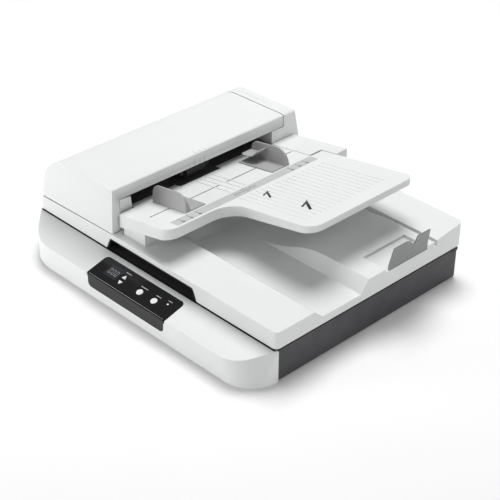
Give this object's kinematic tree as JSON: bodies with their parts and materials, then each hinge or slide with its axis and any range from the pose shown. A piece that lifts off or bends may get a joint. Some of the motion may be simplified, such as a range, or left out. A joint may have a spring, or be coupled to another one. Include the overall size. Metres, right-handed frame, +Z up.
{
  "type": "document scanner with sheet feeder",
  "caption": "Large-format flatbed document scanner with a hinged lid that carries an automatic sheet feeder, paper tray, sliding side guides and a fold-up paper stopper.",
  "frame": {"origin": "centre of the footprint of the whole closed scanner, on the surface it stands on", "axes": "+X to the right, +Y from the control panel to the rear, +Z up"},
  "size_m": [0.6362, 0.5378, 0.1968],
  "materials": {
    "white_case": "fine moulded texture",
    "dark_case": "fine moulded texture, charcoal",
    "gloss_black": "polished black",
    "black_part": "matt black",
    "clear_glass": "flat clear glass",
    "rubber_dark": "fine ground rubber",
    "steel": "drawn steel",
    "key_white": "translucent white",
    "circuit_board": "green solder mask",
    "motor_case": "dark zinc",
    "bronze": "sintered bronze",
    "mirror": "front silvered glass",
    "pad_white": "white foam sheet",
    "guide_grey": "fine moulded texture, mid grey",
    "smoke_grey": "smoky grey, slightly glossy"
  },
  "bodies": {
    "base": {"base_tub": "dark_case", "base_bezel": "white_case", "base_top_frame": "dark_case", "flatbed_glass": "clear_glass", "feeder_glass": "clear_glass", "base_feet": "rubber_dark", "base_screws": "steel", "control_panel": "gloss_black", "display_window": "gloss_black", "status_light": "key_white", "panel_board": "circuit_board", "main_board": "circuit_board", "rear_sockets": "gloss_black", "guide_rod": "steel", "guide_rail": "steel", "carriage_motor": "motor_case", "idler_bracket": "steel", "drive_belt": "rubber_dark", "hinge_brackets": "steel", "hinge_pins": "steel"},
    "up_key": {"up_button": "key_white"},
    "down_key": {"down_button": "key_white"},
    "scan_key": {"scan_button": "key_white"},
    "cancel_key": {"cancel_button": "key_white"},
    "rocker": {"power_switch": "gloss_black"},
    "belt_drive": {"drive_pulley": "steel"},
    "belt_idler": {"idler_pulley": "steel"},
    "carriage": {"carriage_frame": "black_part", "carriage_bushes": "bronze", "scan_lamps": "key_white", "scan_mirrors": "mirror", "lens_block": "black_part", "sensor_board": "circuit_board"},
    "lid": {"lid_hinge_arms": "steel", "lid_shell": "white_case", "lid_base_plate": "white_case", "document_pad": "pad_white", "lid_buffers": "rubber_dark", "handle_insert": "gloss_black", "feeder_frame": "dark_case", "feeder_back_cap": "white_case", "back_block": "white_case", "tray_support": "white_case", "tray_shaft": "steel", "feeder_motor": "motor_case", "feeder_belts": "rubber_dark", "paper_guide": "guide_grey", "separation_pad": "rubber_dark"},
    "transport": {"transport_roller": "rubber_dark"},
    "exit": {"exit_roller": "rubber_dark"},
    "pinch": {"pinch_roller": "guide_grey"},
    "cover": {"feeder_cover": "white_case"},
    "arm": {"pick_arm": "guide_grey"},
    "feed": {"feed_roller": "rubber_dark"},
    "pick": {"pick_roller": "rubber_dark"},
    "tray": {"tray": "white_case"},
    "front_slider": {"front_guide": "guide_grey"},
    "back_slider": {"back_guide": "guide_grey"},
    "pinion": {"guide_pinion": "guide_grey"},
    "stopper": {"stopper": "smoke_grey"}
  },
  "joints": [
    {"name": "up_press", "type": "slide", "parent": "base", "child": "up_key", "axis": [0, 0.2659, -0.964], "range_m": [0, 0.0012], "stiffness_N_per_m": 400, "springref_m": -0.0006},
    {"name": "down_press", "type": "slide", "parent": "base", "child": "down_key", "axis": [0, 0.2659, -0.964], "range_m": [0, 0.0012], "stiffness_N_per_m": 400, "springref_m": -0.0006},
    {"name": "scan_press", "type": "slide", "parent": "base", "child": "scan_key", "axis": [0, 0.2659, -0.964], "range_m": [0, 0.0012], "stiffness_N_per_m": 400, "springref_m": -0.0006},
    {"name": "cancel_press", "type": "slide", "parent": "base", "child": "cancel_key", "axis": [0, 0.2659, -0.964], "range_m": [0, 0.0012], "stiffness_N_per_m": 400, "springref_m": -0.0006},
    {"name": "power_rock", "type": "hinge", "parent": "base", "child": "rocker", "pos_m": [0.18236, 0.25945, 0.03], "axis": [1, 0, 0], "range_deg": [0, 18]},
    {"name": "carriage_slide", "type": "slide", "parent": "base", "child": "carriage", "axis": [1, 0, 0], "range_m": [0, 0.465]},
    {"name": "drive_spin", "type": "hinge", "parent": "base", "child": "belt_drive", "pos_m": [-0.28514, 0.19545, 0.037], "axis": [0, 0, 1], "continuous": true},
    {"name": "idler_spin", "type": "hinge", "parent": "base", "child": "belt_idler", "pos_m": [0.28486, 0.19545, 0.037], "axis": [0, 0, 1], "continuous": true},
    {"name": "lid_hinge", "type": "hinge", "parent": "base", "child": "lid", "pos_m": [-0.00513, 0.26145, 0.074], "axis": [-1, 0, 0], "range_deg": [0, 75]},
    {"name": "transport_spin", "type": "hinge", "parent": "lid", "child": "transport", "pos_m": [-0.24913, 0.03145, 0.122], "axis": [0, -1, 0], "continuous": true},
    {"name": "exit_spin", "type": "hinge", "parent": "lid", "child": "exit", "pos_m": [-0.13514, 0.03145, 0.096], "axis": [0, -1, 0], "continuous": true},
    {"name": "pinch_spin", "type": "hinge", "parent": "lid", "child": "pinch", "pos_m": [-0.13514, 0.03145, 0.0812], "axis": [0, -1, 0], "continuous": true},
    {"name": "cover_hinge", "type": "hinge", "parent": "lid", "child": "cover", "pos_m": [-0.30013, 0.00845, 0.108], "axis": [0, -1, 0], "range_deg": [0, 65]},
    {"name": "pick_lift", "type": "hinge", "parent": "cover", "child": "arm", "pos_m": [-0.16514, 0.00545, 0.152], "axis": [0, -1, 0], "range_deg": [0, 8]},
    {"name": "feed_spin", "type": "hinge", "parent": "cover", "child": "feed", "pos_m": [-0.16514, 0.00545, 0.152], "axis": [0, -1, 0], "continuous": true},
    {"name": "pick_spin", "type": "hinge", "parent": "arm", "child": "pick", "pos_m": [-0.12913, 0.00545, 0.149], "axis": [0, -1, 0], "continuous": true},
    {"name": "tray_lift", "type": "hinge", "parent": "lid", "child": "tray", "pos_m": [-0.09513, 0.01145, 0.126], "axis": [0, -1, 0], "range_deg": [0, 8]},
    {"name": "front_guide_slide", "type": "slide", "parent": "tray", "child": "front_slider", "axis": [0, 1, 0], "range_m": [-0.022, 0.055]},
    {"name": "back_guide_slide", "type": "slide", "parent": "tray", "child": "back_slider", "axis": [0, 1, 0], "range_m": [-0.055, 0.022]},
    {"name": "pinion_spin", "type": "hinge", "parent": "tray", "child": "pinion", "pos_m": [-0.04403, 0.00395, 0.14579], "axis": [-0.1676, 0, 0.9859], "continuous": true},
    {"name": "stopper_fold", "type": "hinge", "parent": "lid", "child": "stopper", "pos_m": [0.30536, 0.11645, 0.103], "axis": [0, -1, 0], "range_deg": [0, 103]}
  ],
  "couplings": [
    {"joint": "drive_spin", "follows": "carriage_slide", "rad_per_m": 142.86},
    {"joint": "idler_spin", "follows": "carriage_slide", "rad_per_m": 142.86},
    {"joint": "exit_spin", "follows": "transport_spin", "ratio": 2.7273},
    {"joint": "pinch_spin", "follows": "transport_spin", "ratio": -3.4091},
    {"joint": "feed_spin", "follows": "transport_spin", "ratio": -1.8333},
    {"joint": "pick_spin", "follows": "transport_spin", "ratio": -1.8333},
    {"joint": "back_guide_slide", "follows": "front_guide_slide", "ratio": -1},
    {"joint": "pinion_spin", "follows": "front_guide_slide", "rad_per_m": -111.11}
  ]
}
